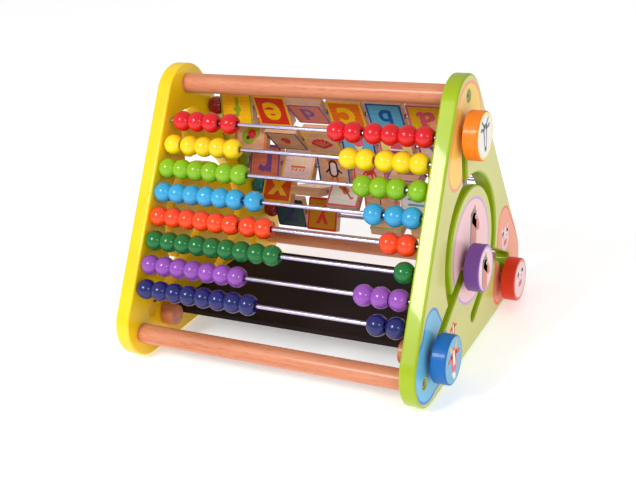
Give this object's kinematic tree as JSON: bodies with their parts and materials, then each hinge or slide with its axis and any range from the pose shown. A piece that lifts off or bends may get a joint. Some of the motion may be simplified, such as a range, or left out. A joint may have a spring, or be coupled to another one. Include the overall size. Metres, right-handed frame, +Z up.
{
  "type": "baby activity centre",
  "caption": "Wooden triangular-prism activity centre with sliding abacus beads, flip tiles on rods, an inner blackboard and sliding-knob mazes cut through both end panels.",
  "frame": {"origin": "on the resting surface, midway between the two end panels and midway between their front and rear feet", "axes": "+X along the dowels towards the green panel, +Y towards the flip-tile slope, +Z up"},
  "size_m": [0.362, 0.3146, 0.2746],
  "materials": {
    "yellow_paint": "gloss paint on solid wood",
    "green_paint": "satin paint on solid wood",
    "beech": "clear satin varnish on turned beech",
    "steel": "polished steel",
    "screw_steel": "plain steel",
    "slate_paint": "matt blackboard paint on thin board",
    "spacer_paint": "gloss paint on turned wood",
    "bead_red": "gloss lacquer on turned wood",
    "bead_yellow": "gloss lacquer on turned wood",
    "bead_light_green": "gloss lacquer on turned wood",
    "bead_light_blue": "gloss lacquer on turned wood",
    "bead_orange": "gloss lacquer on turned wood",
    "bead_dark_green": "gloss lacquer on turned wood",
    "bead_purple": "gloss lacquer on turned wood",
    "bead_navy": "gloss lacquer on turned wood",
    "tile_print": "printed and varnished wood",
    "knob_orange": "satin paint on turned wood",
    "knob_purple": "satin paint on turned wood",
    "knob_red": "satin paint on turned wood",
    "knob_blue": "satin paint on turned wood"
  },
  "bodies": {
    "frame": {"left_panel": "yellow_paint", "right_panel": "green_paint", "top_dowel": "beech", "front_dowel": "beech", "rear_dowel": "beech", "dowel_screws": "screw_steel", "blackboard": "slate_paint", "abacus_rods": "steel", "tile_rods": "steel", "spacer_beads": "spacer_paint"},
    "beads_1_left": {"beads_1_left": "bead_red"},
    "beads_1_right": {"beads_1_right": "bead_red"},
    "beads_2_left": {"beads_2_left": "bead_yellow"},
    "beads_2_right": {"beads_2_right": "bead_yellow"},
    "beads_3_left": {"beads_3_left": "bead_light_green"},
    "beads_3_right": {"beads_3_right": "bead_light_green"},
    "beads_4_left": {"beads_4_left": "bead_light_blue"},
    "beads_4_right": {"beads_4_right": "bead_light_blue"},
    "beads_5_left": {"beads_5_left": "bead_orange"},
    "beads_5_right": {"beads_5_right": "bead_orange"},
    "beads_6_left": {"beads_6_left": "bead_dark_green"},
    "beads_6_right": {"beads_6_right": "bead_dark_green"},
    "beads_7_left": {"beads_7_left": "bead_purple"},
    "beads_7_right": {"beads_7_right": "bead_purple"},
    "beads_8_left": {"beads_8_left": "bead_navy"},
    "beads_8_right": {"beads_8_right": "bead_navy"},
    "tile_a": {"tile_a": "tile_print"},
    "tile_b": {"tile_b": "tile_print"},
    "tile_c": {"tile_c": "tile_print"},
    "tile_d": {"tile_d": "tile_print"},
    "tile_e": {"tile_e": "tile_print"},
    "tile_f": {"tile_f": "tile_print"},
    "tile_g": {"tile_g": "tile_print"},
    "tile_h": {"tile_h": "tile_print"},
    "tile_i": {"tile_i": "tile_print"},
    "tile_j": {"tile_j": "tile_print"},
    "tile_k": {"tile_k": "tile_print"},
    "tile_l": {"tile_l": "tile_print"},
    "tile_m": {"tile_m": "tile_print"},
    "tile_n": {"tile_n": "tile_print"},
    "tile_o": {"tile_o": "tile_print"},
    "tile_p": {"tile_p": "tile_print"},
    "tile_q": {"tile_q": "tile_print"},
    "tile_r": {"tile_r": "tile_print"},
    "tile_s": {"tile_s": "tile_print"},
    "tile_t": {"tile_t": "tile_print"},
    "tile_u": {"tile_u": "tile_print"},
    "tile_v": {"tile_v": "tile_print"},
    "tile_w": {"tile_w": "tile_print"},
    "tile_x": {"tile_x": "tile_print"},
    "tile_y": {"tile_y": "tile_print"},
    "tile_z": {"tile_z": "tile_print"},
    "tile_star": {"tile_star": "tile_print"},
    "tile_sun": {"tile_sun": "tile_print"},
    "orange_slider": {"orange_slider": "knob_orange"},
    "purple_slider": {"purple_slider": "knob_purple"},
    "red_slider": {"red_slider": "knob_red"},
    "blue_slider": {"blue_slider": "knob_blue"},
    "left_front_slider": {"left_front_slider": "knob_red"},
    "left_rear_slider": {"left_rear_slider": "knob_blue"}
  },
  "joints": [
    {"name": "beads_1_left_slide", "type": "slide", "parent": "frame", "child": "beads_1_left", "axis": [1, 0, 0], "range_m": [-0.0077, 0.0503]},
    {"name": "beads_1_right_slide", "type": "slide", "parent": "frame", "child": "beads_1_right", "axis": [-1, 0, 0], "range_m": [-0.0037, 0.0503]},
    {"name": "beads_2_left_slide", "type": "slide", "parent": "frame", "child": "beads_2_left", "axis": [1, 0, 0], "range_m": [-0.0017, 0.0546]},
    {"name": "beads_2_right_slide", "type": "slide", "parent": "frame", "child": "beads_2_right", "axis": [-1, 0, 0], "range_m": [-0.0047, 0.0546]},
    {"name": "beads_3_left_slide", "type": "slide", "parent": "frame", "child": "beads_3_left", "axis": [1, 0, 0], "range_m": [0, 0.0574]},
    {"name": "beads_3_right_slide", "type": "slide", "parent": "frame", "child": "beads_3_right", "axis": [-1, 0, 0], "range_m": [-0.0017, 0.0574]},
    {"name": "beads_4_left_slide", "type": "slide", "parent": "frame", "child": "beads_4_left", "axis": [1, 0, 0], "range_m": [0, 0.0544]},
    {"name": "beads_4_right_slide", "type": "slide", "parent": "frame", "child": "beads_4_right", "axis": [-1, 0, 0], "range_m": [-0.0037, 0.0544]},
    {"name": "beads_5_left_slide", "type": "slide", "parent": "frame", "child": "beads_5_left", "axis": [1, 0, 0], "range_m": [0, 0.05665]},
    {"name": "beads_5_right_slide", "type": "slide", "parent": "frame", "child": "beads_5_right", "axis": [-1, 0, 0], "range_m": [-0.0047, 0.05665]},
    {"name": "beads_6_left_slide", "type": "slide", "parent": "frame", "child": "beads_6_left", "axis": [1, 0, 0], "range_m": [0, 0.05895]},
    {"name": "beads_6_right_slide", "type": "slide", "parent": "frame", "child": "beads_6_right", "axis": [-1, 0, 0], "range_m": [-0.0031, 0.05895]},
    {"name": "beads_7_left_slide", "type": "slide", "parent": "frame", "child": "beads_7_left", "axis": [1, 0, 0], "range_m": [0, 0.05805]},
    {"name": "beads_7_right_slide", "type": "slide", "parent": "frame", "child": "beads_7_right", "axis": [-1, 0, 0], "range_m": [-0.0039, 0.05805]},
    {"name": "beads_8_left_slide", "type": "slide", "parent": "frame", "child": "beads_8_left", "axis": [1, 0, 0], "range_m": [0, 0.0583]},
    {"name": "beads_8_right_slide", "type": "slide", "parent": "frame", "child": "beads_8_right", "axis": [-1, 0, 0], "range_m": [-0.0029, 0.0583]},
    {"name": "tile_a_flip", "type": "hinge", "parent": "frame", "child": "tile_a", "pos_m": [0.1057, 0.03902, 0.21989], "axis": [1, 0, 0], "continuous": true},
    {"name": "tile_b_flip", "type": "hinge", "parent": "frame", "child": "tile_b", "pos_m": [0.0625, 0.03902, 0.21989], "axis": [1, 0, 0], "continuous": true},
    {"name": "tile_c_flip", "type": "hinge", "parent": "frame", "child": "tile_c", "pos_m": [0.0193, 0.03902, 0.21989], "axis": [1, 0, 0], "continuous": true},
    {"name": "tile_d_flip", "type": "hinge", "parent": "frame", "child": "tile_d", "pos_m": [-0.0239, 0.03902, 0.21989], "axis": [1, 0, 0], "continuous": true},
    {"name": "tile_e_flip", "type": "hinge", "parent": "frame", "child": "tile_e", "pos_m": [-0.0671, 0.03902, 0.21989], "axis": [1, 0, 0], "continuous": true},
    {"name": "tile_f_flip", "type": "hinge", "parent": "frame", "child": "tile_f", "pos_m": [-0.1103, 0.03902, 0.21989], "axis": [1, 0, 0], "continuous": true},
    {"name": "tile_g_flip", "type": "hinge", "parent": "frame", "child": "tile_g", "pos_m": [0.1057, 0.06228, 0.18113], "axis": [1, 0, 0], "continuous": true},
    {"name": "tile_h_flip", "type": "hinge", "parent": "frame", "child": "tile_h", "pos_m": [0.0625, 0.06228, 0.18113], "axis": [1, 0, 0], "continuous": true},
    {"name": "tile_i_flip", "type": "hinge", "parent": "frame", "child": "tile_i", "pos_m": [0.0193, 0.06228, 0.18113], "axis": [1, 0, 0], "continuous": true},
    {"name": "tile_j_flip", "type": "hinge", "parent": "frame", "child": "tile_j", "pos_m": [-0.0239, 0.06228, 0.18113], "axis": [1, 0, 0], "continuous": true},
    {"name": "tile_k_flip", "type": "hinge", "parent": "frame", "child": "tile_k", "pos_m": [-0.0671, 0.06228, 0.18113], "axis": [1, 0, 0], "continuous": true},
    {"name": "tile_l_flip", "type": "hinge", "parent": "frame", "child": "tile_l", "pos_m": [-0.1103, 0.06228, 0.18113], "axis": [1, 0, 0], "continuous": true},
    {"name": "tile_m_flip", "type": "hinge", "parent": "frame", "child": "tile_m", "pos_m": [0.1057, 0.08554, 0.14236], "axis": [1, 0, 0], "continuous": true},
    {"name": "tile_n_flip", "type": "hinge", "parent": "frame", "child": "tile_n", "pos_m": [0.0625, 0.08554, 0.14236], "axis": [1, 0, 0], "continuous": true},
    {"name": "tile_o_flip", "type": "hinge", "parent": "frame", "child": "tile_o", "pos_m": [0.0193, 0.08554, 0.14236], "axis": [1, 0, 0], "continuous": true},
    {"name": "tile_p_flip", "type": "hinge", "parent": "frame", "child": "tile_p", "pos_m": [-0.0239, 0.08554, 0.14236], "axis": [1, 0, 0], "continuous": true},
    {"name": "tile_q_flip", "type": "hinge", "parent": "frame", "child": "tile_q", "pos_m": [-0.0671, 0.08554, 0.14236], "axis": [1, 0, 0], "continuous": true},
    {"name": "tile_r_flip", "type": "hinge", "parent": "frame", "child": "tile_r", "pos_m": [-0.1103, 0.08554, 0.14236], "axis": [1, 0, 0], "continuous": true},
    {"name": "tile_s_flip", "type": "hinge", "parent": "frame", "child": "tile_s", "pos_m": [0.1057, 0.1088, 0.10359], "axis": [1, 0, 0], "continuous": true},
    {"name": "tile_t_flip", "type": "hinge", "parent": "frame", "child": "tile_t", "pos_m": [0.0625, 0.1088, 0.10359], "axis": [1, 0, 0], "continuous": true},
    {"name": "tile_u_flip", "type": "hinge", "parent": "frame", "child": "tile_u", "pos_m": [0.0193, 0.1088, 0.10359], "axis": [1, 0, 0], "continuous": true},
    {"name": "tile_v_flip", "type": "hinge", "parent": "frame", "child": "tile_v", "pos_m": [-0.0239, 0.1088, 0.10359], "axis": [1, 0, 0], "continuous": true},
    {"name": "tile_w_flip", "type": "hinge", "parent": "frame", "child": "tile_w", "pos_m": [-0.0671, 0.1088, 0.10359], "axis": [1, 0, 0], "continuous": true},
    {"name": "tile_x_flip", "type": "hinge", "parent": "frame", "child": "tile_x", "pos_m": [-0.1103, 0.1088, 0.10359], "axis": [1, 0, 0], "continuous": true},
    {"name": "tile_y_flip", "type": "hinge", "parent": "frame", "child": "tile_y", "pos_m": [-0.0671, 0.13206, 0.06483], "axis": [1, 0, 0], "continuous": true},
    {"name": "tile_z_flip", "type": "hinge", "parent": "frame", "child": "tile_z", "pos_m": [-0.1103, 0.13206, 0.06483], "axis": [1, 0, 0], "continuous": true},
    {"name": "tile_star_flip", "type": "hinge", "parent": "frame", "child": "tile_star", "pos_m": [0.0193, 0.13206, 0.06483], "axis": [1, 0, 0], "continuous": true},
    {"name": "tile_sun_flip", "type": "hinge", "parent": "frame", "child": "tile_sun", "pos_m": [0.0625, 0.13206, 0.06483], "axis": [1, 0, 0], "continuous": true},
    {"name": "orange_slide", "type": "slide", "parent": "frame", "child": "orange_slider", "axis": [0, 0, -1], "range_m": [0, 0.0529]},
    {"name": "purple_slide", "type": "slide", "parent": "frame", "child": "purple_slider", "axis": [0, -0.8854, -0.4648], "range_m": [0, 0.0292]},
    {"name": "red_slide", "type": "slide", "parent": "frame", "child": "red_slider", "axis": [0, 0, 1], "range_m": [0, 0.0241]},
    {"name": "blue_slide", "type": "slide", "parent": "frame", "child": "blue_slider", "axis": [0, 0.8854, 0.4648], "range_m": [0, 0.0292]},
    {"name": "left_front_slide", "type": "slide", "parent": "frame", "child": "left_front_slider", "axis": [0, 0, 1], "range_m": [0, 0.0241]},
    {"name": "left_rear_slide", "type": "slide", "parent": "frame", "child": "left_rear_slider", "axis": [0, -0.8854, 0.4648], "range_m": [0, 0.0591]}
  ]
}
